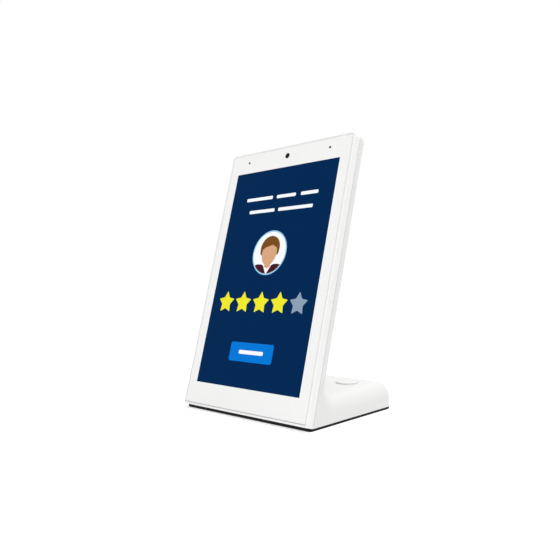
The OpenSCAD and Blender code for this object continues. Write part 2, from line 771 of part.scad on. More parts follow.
module rear_shell() color(white_plastic) difference() {
  union() {
    difference() {
      union() {
        shell_body(0, 0);
        shell_lip();
      }
      shell_body(shell_wall, 2 * shell_wall);
    }
    on_face() at_posts() rod(0, 0, post_end, shell_inside + fit, boss_d);
    at_cover_bosses() translate([0, 0, seat_z]) cylinder(h = cover_boss_h, d = cover_boss_d);
    at_switch_bosses() translate([0, 0, switch_top]) cylinder(h = switch_drop + fit, d = switch_boss_d);
    alcove_block();
  }
  on_face() at_posts() {
    rod(0, 0, post_end - 1, tablet_t + 1, m25_d + 2 * fit);
    rod(0, 0, bore_floor, tablet_t + 1, m25_head_d + 2 * slide_fit);
  }
  at_cover_bosses() translate([0, 0, seat_z - 1]) cylinder(h = cover_boss_h, d = m3_d + 2 * screw_fit);
  at_switch_bosses() translate([0, 0, switch_top - 1])
    cylinder(h = switch_drop - 1, d = m25_d + 2 * screw_fit);
  translate([button_x, button_y, roof_z - 1]) cylinder(h = 2 * shell_wall, d = button_d);
  rear_box(0, alcove_w, alcove_y, base_rear + 1, alcove_sill_z, alcove_top_z);
  port_cuts();
  on_face() at_speakers() for (i = [0 : grille_n - 1])
    slab(0, cone_s + (i - (grille_n - 1) / 2) * grille_pitch, grille_len, grille_slot,
      shell_inside - 1, tablet_t + 1);
  below_skirt();
}

module shell_screws() color(steel_grey) on_face() at_posts()
  face_screw(bore_floor, web_back, m25_d, m25_head_d, m25_head_t);

// A plate within the shell's walls, a flange under them, and a bar that fills the wedge under the frame
module bottom_cover() color(black_plastic) difference() {
  union() {
    translate([0, 0, foot_proud]) linear_extrude(cover_t) polygon(footprint(plate_inset, plate_front));
    translate([0, 0, foot_proud]) linear_extrude(cover_t - cover_lap - fit)
      polygon(footprint(cover_inset, cover_setback));
    difference() {
      translate([0, 0, foot_proud]) linear_extrude(cover_t) polygon(footprint(cover_inset, cover_setback));
      on_face() layer(-far, far) pane(far, -chin_h - fit, far);
    }
    at_socket_screws() translate([0, 0, seat_z - fit]) cylinder(h = io_lift + fit, d = post_d);
    at_pegs() translate([0, 0, seat_z - fit]) cylinder(h = ballast_t + peg_proud + fit, d = peg_d);
  }
  at_feet() translate([0, 0, foot_proud - 1]) cylinder(h = 1 + foot_sink, d = foot_d + slide_fit);
  at_cover_bosses() {
    translate([0, 0, foot_proud - 1]) cylinder(h = cover_t + 2, d = m3_d + 2 * fit);
    translate([0, 0, foot_proud - 1]) cylinder(h = 1 + m3_head_t + fit, d = m3_head_d + 2 * slide_fit);
  }
  at_socket_screws() translate([0, 0, foot_proud + 1])
    cylinder(h = cover_t + io_lift, d = m2_d + 2 * screw_fit);
}

module cover_screws() color(steel_grey) at_cover_bosses() {
  translate([0, 0, foot_proud + fit]) cylinder(h = m3_head_t, d = m3_head_d);
  translate([0, 0, foot_proud + m3_head_t]) cylinder(h = cover_screw_l, d = m3_d);
}

module rubber_feet() color("#0F1011") at_feet() cylinder(h = foot_proud + foot_sink, d = foot_d);

module ballast_plate() color("#8A8E94") difference() {
  translate([-ballast_half, ballast_front, seat_z])
    cube([2 * ballast_half, ballast_rear - ballast_front, ballast_t]);
  at_pegs() translate([0, 0, seat_z - 1]) cylinder(h = ballast_t + 2, d = peg_d + 2 * fit);
}

module socket_board() color(board_green) difference() {
  translate([-io_half, io_front, io_z]) cube([2 * io_half, io_rear - io_front, io_t]);
  at_socket_screws() translate([0, 0, io_z - 1]) cylinder(h = io_t + 2, d = m2_d + 2 * fit);
}

module socket_board_screws() color(steel_grey) at_socket_screws() {
  translate([0, 0, io_top]) cylinder(h = m2_head_t, d = m2_head_d);
  translate([0, 0, foot_proud + 1 + bite]) cylinder(h = io_top + fit - foot_proud - 1 - bite, d = m2_d);
}

module network_socket() color("#3C3F44") difference() {
  rear_box(net_x, net_w, mouth_y - net_l, mouth_y, io_top, io_top + net_h);
  rear_box(net_x, net_hole_w, mouth_y - net_hole_l, mouth_y + 1, net_hole_z, net_hole_z + net_hole_h);
  rear_box(net_x, net_key_w, mouth_y - net_hole_l / 2, mouth_y + 1, net_hole_z - net_key_h, net_hole_z + 1);
}

module network_contacts() color("#C9A24A") for (i = [0 : net_pins - 1])
  rear_box(net_x + (i - (net_pins - 1) / 2) * net_pitch, net_pin_w,
    mouth_y - net_hole_l, mouth_y - net_pin_in, net_hole_z + net_hole_h - net_pin_w, net_hole_z + net_hole_h);

module power_socket() color(black_plastic) difference() {
  rear_box(dc_x, dc_w, mouth_y - dc_l, mouth_y, io_top, io_top + dc_h);
  rearward(dc_x, mouth_y - dc_bore_l, dc_axis_z, dc_bore_l + 1, dc_bore_d);
}

module power_socket_pin() color(steel_grey)
  rearward(dc_x, mouth_y - dc_bore_l, dc_axis_z, dc_bore_l - dc_pin_in, dc_pin_d);

module usb_socket() color(steel_grey) difference() {
  rear_box(usb_x, usb_w, mouth_y - usb_l, mouth_y, io_top, io_top + usb_lift + usb_h);
  rear_box(usb_x, usb_w - 2 * usb_wall, mouth_y - usb_l + usb_back, mouth_y + 1,
    io_top + usb_lift + usb_wall, io_top + usb_lift + usb_h - usb_wall);
}

module usb_tongue() color("#F2F2EE") {
  top = io_top + usb_lift + usb_h - usb_wall - usb_tongue_drop;
  root = mouth_y - usb_l + usb_back;
  rear_box(usb_x, usb_tongue_w, root, root + usb_tongue_l, top - usb_tongue_h, top);
}

// Upright oval of the small socket, drawn across and up
module oval(w, h) {
  square([w - h, h], center = true);
  for (side = [-1, 1]) translate([side * (w - h) / 2, 0]) circle(d = h);
}

module usb_c_socket() color(steel_grey) translate([usbc_x, mouth_y, io_top + usbc_h / 2]) rotate([90, 0, 0]) {
  difference() {
    linear_extrude(usbc_l) oval(usbc_w, usbc_h);
    translate([0, 0, -1]) linear_extrude(usbc_l + 1 - usbc_back)
      oval(usbc_w - 2 * usbc_wall, usbc_h - 2 * usbc_wall);
  }
}

module usb_c_tongue() color(chip_black)
  rear_box(usbc_x, usbc_tongue_w, mouth_y - usbc_l + usbc_back, mouth_y - usbc_l + usbc_back + usbc_tongue_l,
    io_top + (usbc_h - usbc_tongue_h) / 2, io_top + (usbc_h + usbc_tongue_h) / 2);

// Flat cable from the main board down through the back into the foot
module socket_cable() color("#D8DADD") {
  depth = board_back + (plug_t + io_cable_t) / 2;
  level = io_top + (plug_t + io_cable_t) / 2;
  along_x(io_cable_w) polygon(strip([
    face_point(board_low + plug_in, depth),
    face_point(io_cable_turn, depth),
    [face_point(io_cable_turn, depth)[0] + io_cable_run, level],
    [io_front + plug_in, level]], io_cable_t));
}

// The cap is a turned part: dished top, skirt, flange under the foot's top, and a stem on the switch
module power_button() color(white_plastic) translate([button_x, button_y, 0]) rotate_extrude() polygon(concat(
  [[0, plunger_top], [stem_r, plunger_top], [stem_r, cap_roof], [cap_r - cap_skirt, cap_roof],
    [cap_r - cap_skirt, flange_top - flange_t], [flange_r, flange_top - flange_t], [flange_r, flange_top],
    [cap_r, flange_top]],
  arc([cap_r - cap_edge_r, cap_top - cap_edge_r], cap_edge_r, 0, 90, edge_steps),
  [for (i = [round_steps - 1 : -1 : 0]) let (reach = i / round_steps)
    [reach * (cap_r - cap_edge_r), cap_top - cap_dish * cos(90 * reach)]]));

// Return spring: a wound wire between the switch board and the cap
spring_count = spring_turns * spring_rings;
function coil_angle(i) = 360 * i / spring_rings;
function coil_point(i) = [
  spring_r * cos(coil_angle(i)),
  spring_r * sin(coil_angle(i)),
  spring_low + (spring_high - spring_low) * i / spring_count];
function coil_ring(i) = [for (j = [0 : spring_sides - 1]) let (
    turn = 360 * j / spring_sides,
    out = spring_wire / 2 * cos(turn))
  coil_point(i) + [out * cos(coil_angle(i)), out * sin(coil_angle(i)), spring_wire / 2 * sin(turn)]];
module button_spring() color("#A9ADB3") translate([button_x, button_y, 0]) {
  skin = [for (i = [0 : spring_count - 1]) for (j = [0 : spring_sides - 1]) let (
      a = i * spring_sides + j,
      b = i * spring_sides + (j + 1) % spring_sides)
    each [[a, b, b + spring_sides], [a, b + spring_sides, a + spring_sides]]];
  start_cap = [for (j = [spring_sides - 1 : -1 : 0]) j];
  end_cap = [for (j = [0 : spring_sides - 1]) spring_count * spring_sides + j];
  polyhedron(points = [for (i = [0 : spring_count]) each coil_ring(i)],
    faces = concat(skin, [start_cap, end_cap]), convexity = 8);
}
echo(spring_gap = min([for (i = [0 : spring_count]) for (k = [i + spring_rings / 2 : 1 : spring_count])
  norm(coil_point(i) - coil_point(k))]) - spring_wire);

module switch_board() color(board_green) difference() {
  translate([button_x - switch_board_w / 2, button_y - switch_board_l / 2, switch_board_z])
    cube([switch_board_w, switch_board_l, switch_board_t]);
  at_switch_bosses() translate([0, 0, switch_board_z - 1])
    cylinder(h = switch_board_t + 2, d = m25_d + 2 * fit);
}

module switch_body() color(chip_black) difference() {
  translate([button_x - switch_w / 2, button_y - switch_w / 2, switch_top])
    cube([switch_w, switch_w, switch_h]);
  translate([button_x, button_y, switch_top + switch_h - plunger_in - button_travel - slide_fit])
    cylinder(h = far / 4, d = plunger_d + slide_fit);
}

module switch_plunger() color("#C7552F") translate([button_x, button_y, switch_top + switch_h - plunger_in])
  cylinder(h = plunger_in + plunger_over, d = plunger_d);

module switch_screws() color(steel_grey) at_switch_bosses() {
  translate([0, 0, switch_board_z - m25_head_t]) cylinder(h = m25_head_t, d = m25_head_d);
  translate([0, 0, switch_board_z - fit]) cylinder(h = switch_board_t + switch_screw_grip, d = m25_d);
}

// Two-core lead from the switch board down to the socket board
module switch_cable() color("#D8DADD") {
  inner = button_x - switch_board_w / 2;
  lead = lead_t / 2;
  translate([0, button_y, 0]) rotate([90, 0, 0]) linear_extrude(lead_w) polygon(strip([
    [inner + lead_lap, switch_board_z - lead],
    [inner - lead_end, switch_board_z - lead],
    [io_half - lead_end, io_top + lead],
    [io_half - lead_end - lead_lap, io_top + lead]], lead_t));
}

cover_glass();
glass_tape();
touch_sensor();
display_panel();
light_guide();
backlight_tray();
front_frame();
chassis_plate();
chassis_screws();
main_board();
board_screws();
processor_chip();
memory_chips();
power_parts();
board_plugs();
thermal_pad();
heat_spreader();
display_flex();
camera_housing();
camera_lens();
microphone_boots();
microphones();
sensor_flex();
speaker_boxes();
speaker_cones();
speaker_gaskets();
wireless_antennas();
rear_shell();
shell_screws();
bottom_cover();
cover_screws();
rubber_feet();
ballast_plate();
socket_board();
socket_board_screws();
network_socket();
network_contacts();
power_socket();
power_socket_pin();
usb_socket();
usb_tongue();
usb_c_socket();
usb_c_tongue();
socket_cable();
power_button();
button_spring();
switch_board();
switch_body();
switch_plunger();
switch_screws();
switch_cable();
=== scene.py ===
"""Looks of a leaning counter tablet with a push button on its foot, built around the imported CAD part."""

import math

import bmesh
import bpy
from mathutils import Matrix, Vector


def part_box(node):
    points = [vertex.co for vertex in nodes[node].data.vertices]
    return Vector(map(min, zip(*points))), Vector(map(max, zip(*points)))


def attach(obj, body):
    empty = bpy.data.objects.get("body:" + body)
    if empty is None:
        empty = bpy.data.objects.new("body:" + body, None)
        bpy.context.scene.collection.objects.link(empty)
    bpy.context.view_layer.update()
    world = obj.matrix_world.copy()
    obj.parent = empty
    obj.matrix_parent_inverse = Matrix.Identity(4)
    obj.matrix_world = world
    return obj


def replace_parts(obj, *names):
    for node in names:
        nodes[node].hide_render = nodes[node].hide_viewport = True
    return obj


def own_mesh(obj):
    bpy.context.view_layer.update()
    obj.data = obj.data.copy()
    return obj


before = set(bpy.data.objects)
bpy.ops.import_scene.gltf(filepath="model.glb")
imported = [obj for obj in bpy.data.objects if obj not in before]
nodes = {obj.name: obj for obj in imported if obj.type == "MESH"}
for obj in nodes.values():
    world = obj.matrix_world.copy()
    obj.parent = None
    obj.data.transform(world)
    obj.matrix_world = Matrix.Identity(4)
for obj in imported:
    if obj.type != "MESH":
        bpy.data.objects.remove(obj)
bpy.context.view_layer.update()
scene = bpy.context.scene

# Sizes are in millimetres, and Blender works in metres
MM = 0.001
PER_METRE = 1000


def at(x, y, z):
    """A move to a place given in millimetres."""
    return Matrix.Translation((x * MM, y * MM, z * MM))


def box_mm(name):
    """A CAD node's lowest and highest corners, in millimetres."""
    return [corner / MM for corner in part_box(name)]


# Sizes repeated from the part's source
LEAN = math.radians(16.5)
SCREEN_HALF, SCREEN_HIGH, SCREEN_LOW, BORDER_SIDE = 67.8, 217.0, 21.4, 11.6
GLASS_HALF, GLASS_HIGH = SCREEN_HALF + BORDER_SIDE, SCREEN_HIGH + 2 * SCREEN_LOW
GLASS_T, GLASS_CORNER, GLASS_GAP = 1.8, 1.0, 0.3
SENSOR_DROP, MIC_X, MIC_D = 9.6, 54.0, 1.2
SENSOR_UP = GLASS_HIGH - SENSOR_DROP
POST_X, POST_UP, POST_DEEP = 75.525, (60.0, 149.1, 238.2), 11.2
COVER_BOSS_X, COVER_BOSS_Y, COVER_SCREW_Z = 75.9, 40.0, 0.4
SPRING_WIRE, SPRING_TURNS = 1.0, 5
SPRING_LOW, SPRING_HIGH, SPRING_SEAT = 14.8, 23.8, 14.2

# The leaning face: X across, Y up the glass, Z out of it, from the middle of the glass's lower edge
glass_low = box_mm("cover_glass")[0]
GLASS_FOOT = at(0, glass_low.y, glass_low.z + GLASS_T * math.sin(LEAN))
FACE = GLASS_FOOT @ Matrix.Rotation(math.pi / 2 - LEAN, 4, "X")
UPRIGHT = Matrix.Identity(4)
TURN_OVER = Matrix.Rotation(math.pi, 4, "X")


# Camera, solved from the straight edges in the photograph

VIEW_FROM = Vector((419.01, -442.57, 131.44)) * MM
VIEW_RIGHT = Vector((0.720899, 0.692696, -0.021825))
VIEW_UP = Vector((0.007799, 0.023382, 0.999696))
FOCAL_PX, PHOTO_PX, FILM_W = 624.19, 560, 36.0
CLIP_NEAR, CLIP_FAR = 0.01, 50


def place_camera():
    """The photograph's own view."""
    lens = bpy.data.cameras.new("camera")
    lens.sensor_width = FILM_W
    lens.lens = FILM_W * FOCAL_PX / PHOTO_PX
    lens.clip_start = CLIP_NEAR
    lens.clip_end = CLIP_FAR
    camera = bpy.data.objects.new("camera", lens)
    back = VIEW_RIGHT.cross(VIEW_UP)
    turn = Matrix((VIEW_RIGHT, VIEW_UP, back)).transposed().to_4x4()
    camera.matrix_world = Matrix.Translation(VIEW_FROM) @ turn
    scene.collection.objects.link(camera)
    scene.camera = camera


# Shader helpers

COLOUR, VALUE = "NodeSocketColor", "NodeSocketFloat"


def tone(red, green, blue):
    """A colour given on a 0 to 255 scale, as the shader wants it."""
    parts = [c / 255 for c in (red, green, blue)]
    return tuple(c / 12.92 if c <= 0.04045 else ((c + 0.055) / 1.055) ** 2.4 for c in parts) + (1.0,)


def add(tree, kind, **settings):
    """A new node with its settings."""
    node = tree.nodes.new(kind)
    for key, value in settings.items():
        setattr(node, key, value)
    return node


def feed(tree, socket, value):
    """Links a socket to another one, or sets it to a number."""
    if isinstance(value, bpy.types.NodeSocket):
        tree.links.new(value, socket)
    else:
        socket.default_value = value


def math_node(tree, operation, *values):
    """One step of arithmetic on sockets or numbers."""
    node = add(tree, "ShaderNodeMath", operation=operation)
    for socket, value in zip(node.inputs, values):
        feed(tree, socket, value)
    return node.outputs[0]


def new_group(name, inputs, outputs):
    """An empty group with its sockets, as the tree, the sockets to read and the sockets to fill."""
    tree = bpy.data.node_groups.new(name, "ShaderNodeTree")
    for label, kind, value in inputs:
        tree.interface.new_socket(label, in_out="INPUT", socket_type=kind).default_value = value
    for label, kind in outputs:
        tree.interface.new_socket(label, in_out="OUTPUT", socket_type=kind)
    return tree, add(tree, "NodeGroupInput").outputs, add(tree, "NodeGroupOutput").inputs


def object_place(tree):
    """Where a point lies on its piece, in metres."""
    return add(tree, "ShaderNodeTexCoord").outputs["Object"]


def mapped(tree, where, setting, value):
    """A place that is scaled or turned."""
    node = add(tree, "ShaderNodeMapping")
    node.inputs[setting].default_value = value
    tree.links.new(where, node.inputs["Vector"])
    return node.outputs[0]


def noise(tree, where, scale, detail):
    """A noise value from 0 to 1."""
    node = add(tree, "ShaderNodeTexNoise")
    tree.links.new(where, node.inputs["Vector"])
    feed(tree, node.inputs["Scale"], scale)
    node.inputs["Detail"].default_value = detail
    return node.outputs[0]


def drift(tree, value, amount, middle):
    """A noise value spread by amount about the middle."""
    centred = math_node(tree, "SUBTRACT", value, 0.5)
    return math_node(tree, "ADD", math_node(tree, "MULTIPLY", centred, amount), middle)


def shaded(tree, colour, factor):
    """A colour times a factor."""
    node = add(tree, "ShaderNodeVectorMath", operation="SCALE")
    tree.links.new(colour, node.inputs[0])
    tree.links.new(factor, node.inputs["Scale"])
    return node.outputs[0]


# Effects that several finishes share, with noise scales in cells to the metre

SKIN_BROAD, SKIN_PATCHES = 16, 90
LINE_STRETCH, LINE_TONE = (1, 0.04, 1), 0.16
CLOUD_SCALE, CLOUD_ROUGH = 120, 0.2


def moulded_skin_group():
    """Moulded plastic: fine spark-eroded grain, broad drift of tone, patches that shine a little more."""
    tree, given, out = new_group(
        "moulded_skin",
        [("Colour", COLOUR, (0.8, 0.8, 0.8, 1)), ("Tone Drift", VALUE, 0.02), ("Roughness", VALUE, 0.4),
         ("Rough Drift", VALUE, 0.1), ("Grain Size", VALUE, 0.3)],
        [("Colour", COLOUR), ("Roughness", VALUE), ("Height", VALUE)])
    where = object_place(tree)
    grain = noise(tree, where, math_node(tree, "DIVIDE", PER_METRE, given["Grain Size"]), 3)
    broad = noise(tree, where, SKIN_BROAD, 2)
    patches = noise(tree, where, SKIN_PATCHES, 4)
    tree.links.new(shaded(tree, given["Colour"], drift(tree, broad, given["Tone Drift"], 1)), out["Colour"])
    tree.links.new(drift(tree, patches, given["Rough Drift"], given["Roughness"]), out["Roughness"])
    tree.links.new(grain, out["Height"])
    return tree


def drawn_metal_group():
    """Rolled or drawn metal: fine lines one way, and a drift of shine across them."""
    tree, given, out = new_group(
        "drawn_metal",
        [("Colour", COLOUR, (0.6, 0.6, 0.6, 1)), ("Roughness", VALUE, 0.3), ("Line Size", VALUE, 0.2)],
        [("Colour", COLOUR), ("Roughness", VALUE), ("Height", VALUE)])
    where = object_place(tree)
    along = mapped(tree, where, "Scale", LINE_STRETCH)
    lines = noise(tree, along, math_node(tree, "DIVIDE", PER_METRE, given["Line Size"]), 2)
    cloud = noise(tree, where, CLOUD_SCALE, 3)
    tree.links.new(shaded(tree, given["Colour"], drift(tree, lines, LINE_TONE, 1)), out["Colour"])
    tree.links.new(drift(tree, cloud, CLOUD_ROUGH, given["Roughness"]), out["Roughness"])
    tree.links.new(lines, out["Height"])
    return tree


def screen_pixels_group():
    """The picture's dots: columns and rows of light with thin dark lines between them."""
    tree, given, out = new_group(
        "screen_pixels",
        [("Colour", COLOUR, (0.5, 0.5, 0.5, 1)), ("Pitch", VALUE, 0.17), ("Depth", VALUE, 0.2)],
        [("Colour", COLOUR)])
    axes = add(tree, "ShaderNodeSeparateXYZ")
    tree.links.new(mapped(tree, object_place(tree), "Rotation", (LEAN - math.pi / 2, 0, 0)), axes.inputs[0])
    turns = math_node(tree, "DIVIDE", 2 * math.pi * PER_METRE, given["Pitch"])
    half_depth = math_node(tree, "MULTIPLY", given["Depth"], 0.5)
    bands = []
    for axis in ("X", "Y"):
        wave = math_node(tree, "SINE", math_node(tree, "MULTIPLY", axes.outputs[axis], turns))
        bands.append(math_node(tree, "ADD", math_node(tree, "MULTIPLY", wave, half_depth), 1))
    tree.links.new(shaded(tree, given["Colour"], math_node(tree, "MULTIPLY", *bands)), out["Colour"])
    return tree


MOULDED, DRAWN, PIXELS = moulded_skin_group(), drawn_metal_group(), screen_pixels_group()


# Kinds of finish

PLASTIC_FEEL = 0.5
METAL_RISE, METAL_FEEL = 0.01, 0.4
SCREEN_BLACK, SCREEN_ROUGH, SCREEN_SHINE = (0.0004, 0.0004, 0.0005, 1), 0.16, 0.006


def start_finish(name, group, values):
    """A new material with one placed group, its values set."""
    finish = bpy.data.materials.new(name)
    finish.use_nodes = True
    tree = finish.node_tree
    placed = add(tree, "ShaderNodeGroup", node_tree=group)
    for label, value in values.items():
        placed.inputs[label].default_value = value
    return finish, tree, tree.nodes["Principled BSDF"], placed.outputs


def feel(tree, shader, height, rise, strength):
    """A relief on the surface, with its rise in millimetres."""
    bump = add(tree, "ShaderNodeBump")
    bump.inputs["Distance"].default_value = rise * MM
    bump.inputs["Strength"].default_value = strength
    tree.links.new(height, bump.inputs["Height"])
    tree.links.new(bump.outputs[0], shader.inputs["Normal"])


def plastic(name, colour, rough, grain, rise=0.02, drift_tone=0.02, drift_rough=0.1, shine=0.5):
    """A moulded, printed or pressed finish, with its grain and rise in millimetres."""
    finish, tree, shader, skin = start_finish(name, MOULDED, {
        "Colour": colour, "Tone Drift": drift_tone, "Roughness": rough, "Rough Drift": drift_rough,
        "Grain Size": grain})
    tree.links.new(skin["Colour"], shader.inputs["Base Color"])
    tree.links.new(skin["Roughness"], shader.inputs["Roughness"])
    feel(tree, shader, skin["Height"], rise, PLASTIC_FEEL)
    shader.inputs["Specular IOR Level"].default_value = shine
    return finish


def metal(name, colour, rough, line):
    """A bare or plated metal, with its line width in millimetres."""
    finish, tree, shader, drawn = start_finish(name, DRAWN, {
        "Colour": colour, "Roughness": rough, "Line Size": line})
    tree.links.new(drawn["Colour"], shader.inputs["Base Color"])
    tree.links.new(drawn["Roughness"], shader.inputs["Roughness"])
    feel(tree, shader, drawn["Height"], METAL_RISE, METAL_FEEL)
    shader.inputs["Metallic"].default_value = 1
    return finish


def lit(name, colour):
    """A lit colour of the screen, behind an anti-glare glass that reflects little."""
    finish, tree, shader, dots = start_finish(name, PIXELS, {"Colour": colour})
    tree.links.new(dots["Colour"], shader.inputs["Emission Color"])
    shader.inputs["Emission Strength"].default_value = 1
    shader.inputs["Base Color"].default_value = SCREEN_BLACK
    shader.inputs["Roughness"].default_value = SCREEN_ROUGH
    shader.inputs["Specular IOR Level"].default_value = SCREEN_SHINE
    return finish


# White and clear finishes
SHELL_WHITE = plastic("satin_white_plastic", tone(229, 229, 228), 0.42, 0.35)
FRAME_WHITE = plastic("gloss_white_plastic", tone(242, 242, 241), 0.3, 0.5, rise=0.01)
PRINT_WHITE = plastic("white_print_under_glass", tone(243, 243, 242), 0.16, 2.5, rise=0.004,
                      drift_rough=0.08)
GLASS_GREY = plastic("ground_glass_edge", tone(224, 226, 225), 0.24, 0.8, rise=0.006, drift_tone=0.04)
SEAL_WHITE = plastic("white_sealant", tone(236, 236, 235), 0.55, 0.7, rise=0.02, drift_tone=0.05)
CLEAR_SHEET = plastic("clear_pressed_sheet", tone(206, 214, 220), 0.12, 3.0, rise=0.004, drift_tone=0.02)

# Black and dark finishes
BLACK_GRAIN = plastic("black_grained_plastic", tone(13, 13, 14), 0.6, 0.5, rise=0.06, drift_tone=0.2,
                      shine=0.16)
BLACK_GLOSS = plastic("black_gloss_print", tone(8, 8, 9), 0.1, 2.0, rise=0.003, drift_tone=0.2, shine=0.12)
BLACK_RUBBER = plastic("black_rubber", tone(16, 16, 17), 0.8, 0.8, rise=0.08, drift_tone=0.25, shine=0.2)
BLACK_FOAM = plastic("black_foam", tone(34, 34, 36), 0.95, 0.6, rise=0.2, drift_tone=0.3)
CONE_PAPER = plastic("speaker_cone_paper", tone(52, 53, 56), 0.85, 0.25, rise=0.1, drift_tone=0.25)
CHIP_BLACK = plastic("chip_epoxy", tone(30, 31, 33), 0.6, 0.2, rise=0.03, drift_tone=0.15)

# Grey, pale and coloured finishes
GREY_PLASTIC = plastic("grey_moulded_plastic", tone(66, 68, 72), 0.5, 0.4, rise=0.04, drift_tone=0.1)
PALE_PLASTIC = plastic("pale_moulded_plastic", tone(214, 214, 210), 0.45, 0.4, rise=0.03, drift_tone=0.04)
BOARD_GREEN = plastic("circuit_board_lacquer", tone(18, 78, 52), 0.35, 1.6, rise=0.03, drift_tone=0.35)
FLEX_AMBER = plastic("amber_flat_cable", tone(176, 104, 40), 0.35, 0.9, rise=0.02, drift_tone=0.2)
CABLE_WHITE = plastic("white_flat_cable", tone(222, 222, 224), 0.5, 0.9, rise=0.05, drift_tone=0.06)
THERMAL_GREY = plastic("thermal_putty", tone(150, 160, 172), 0.9, 0.5, rise=0.05, drift_tone=0.12)

# Metals
STEEL = metal("zinc_plated_steel", tone(186, 188, 192), 0.32, 0.25)
ALUMINIUM = metal("rolled_aluminium", tone(206, 208, 211), 0.36, 0.3)
GOLD = metal("gold_plated_contact", tone(226, 186, 104), 0.25, 0.2)

# Lit colours of the picture
NAVY = lit("lit_navy", tone(2, 41, 84))
LIT_WHITE = lit("lit_white", tone(250, 252, 255))
LIT_YELLOW = lit("lit_yellow", tone(240, 235, 48))
LIT_SLATE = lit("lit_slate", tone(140, 161, 182))
LIT_BLUE = lit("lit_blue", tone(5, 120, 216))
LIT_SKY = lit("lit_sky", tone(150, 205, 240))
LIT_TAN = lit("lit_tan", tone(216, 168, 128))
LIT_MAROON = lit("lit_maroon", tone(72, 28, 34))
LIT_BROWN = lit("lit_brown", tone(122, 78, 30))

NODE_FINISH = {
    SHELL_WHITE: ["rear_shell", "power_button"],
    FRAME_WHITE: ["front_frame"],
    BLACK_GRAIN: ["bottom_cover", "network_socket", "power_socket", "speaker_boxes", "board_plugs"],
    BLACK_RUBBER: ["rubber_feet", "microphone_boots"],
    BLACK_FOAM: ["glass_tape", "speaker_gaskets"],
    BLACK_GLOSS: ["camera_lens", "display_panel"],
    GREY_PLASTIC: ["camera_housing", "switch_body", "usb_tongue", "usb_c_tongue"],
    PALE_PLASTIC: ["switch_plunger"],
    CLEAR_SHEET: ["touch_sensor", "light_guide"],
    CONE_PAPER: ["speaker_cones"],
    CHIP_BLACK: ["processor_chip", "memory_chips", "power_parts", "microphones"],
    BOARD_GREEN: ["main_board", "socket_board", "switch_board"],
    FLEX_AMBER: ["display_flex", "sensor_flex", "wireless_antennas"],
    CABLE_WHITE: ["socket_cable", "switch_cable"],
    THERMAL_GREY: ["thermal_pad"],
    STEEL: ["chassis_plate", "chassis_screws", "board_screws", "socket_board_screws", "switch_screws",
            "ballast_plate", "usb_socket", "usb_c_socket", "power_socket_pin"],
    ALUMINIUM: ["backlight_tray", "heat_spreader"],
    GOLD: ["network_contacts"],
}


def wear(obj, finish):
    """Gives an object its one finish."""
    obj.data.materials.clear()
    obj.data.materials.append(finish)


# Softened edges on the CAD pieces that show, as widths

EDGE_SOFT = {
    "front_frame": 0.3, "rear_shell": 0.35, "power_button": 0.1, "bottom_cover": 0.2, "rubber_feet": 0.3,
    "network_socket": 0.15, "power_socket": 0.2, "usb_socket": 0.08, "usb_c_socket": 0.08,
    "usb_tongue": 0.1, "usb_c_tongue": 0.08, "network_contacts": 0.05, "power_socket_pin": 0.2,
}
WELD_REACH = 0.0005
SOFT_STEPS = 2
SHARP_ANGLE = math.radians(35)
FLAT_WEIGHT = 80


def soften(obj, width):
    """Joins the faces, rounds the sharp edges a little and evens the shading of the flats."""
    mesh = obj.data
    if mesh.has_custom_normals:
        with bpy.context.temp_override(object=obj, active_object=obj, selected_objects=[obj]):
            bpy.ops.mesh.customdata_custom_splitnormals_clear()
    mesh.shade_smooth()
    weld = obj.modifiers.new("weld", "WELD")
    weld.merge_threshold = WELD_REACH * MM
    bevel = obj.modifiers.new("edge", "BEVEL")
    bevel.width = width * MM
    bevel.segments = SOFT_STEPS
    bevel.limit_method = "ANGLE"
    bevel.angle_limit = SHARP_ANGLE
    bevel.use_clamp_overlap = True
    bevel.harden_normals = True
    even = obj.modifiers.new("even", "WEIGHTED_NORMAL")
    even.keep_sharp = True
    even.weight = FLAT_WEIGHT


# Outlines, as lists of points in millimetres

def arc(x, y, wide, high, start, end, steps):
    """Points along part of an ellipse, between two angles in degrees."""
    angles = [math.radians(start + (end - start) * i / steps) for i in range(steps + 1)]
    return [(x + wide * math.cos(a), y + high * math.sin(a)) for a in angles]


def circle(x, y, radius, count):
    """Points round a circle, from its right."""
    angles = [2 * math.pi * i / count for i in range(count)]
    return [(x + radius * math.cos(a), y + radius * math.sin(a)) for a in angles]


def round_box(half_w, low, high, radius, steps=6):
    """A rectangle with round corners, from the lower right corner round to the lower left one."""
    corners = ((half_w - radius, low + radius, -90), (half_w - radius, high - radius, 0),
               (radius - half_w, high - radius, 90), (radius - half_w, low + radius, 180))
    turns = [arc(x, y, radius, radius, start, start + 90, steps) for x, y, start in corners]
    return [point for turn in turns for point in turn]


def moved(outline, x, y):
    """The outline shifted across and up."""
    return [(px + x, py + y) for px, py in outline]


def mirrored(outline):
    """The outline mirrored across the middle, in reverse order."""
    return [(-x, y) for x, y in reversed(outline)]


def softened(outline, reach, steps=5):
    """An outline with each corner eased by a short curve."""
    eased = []
    count = len(outline)
    for i in range(count):
        before, corner, after = (Vector(outline[(i + k) % count]) for k in (-1, 0, 1))
        start = corner + (before - corner).normalized() * reach
        end = corner + (after - corner).normalized() * reach
        for k in range(steps + 1):
            t = k / steps
            eased.append(tuple(start * (1 - t) ** 2 + corner * 2 * t * (1 - t) + end * t * t))
    return eased


# Making pieces

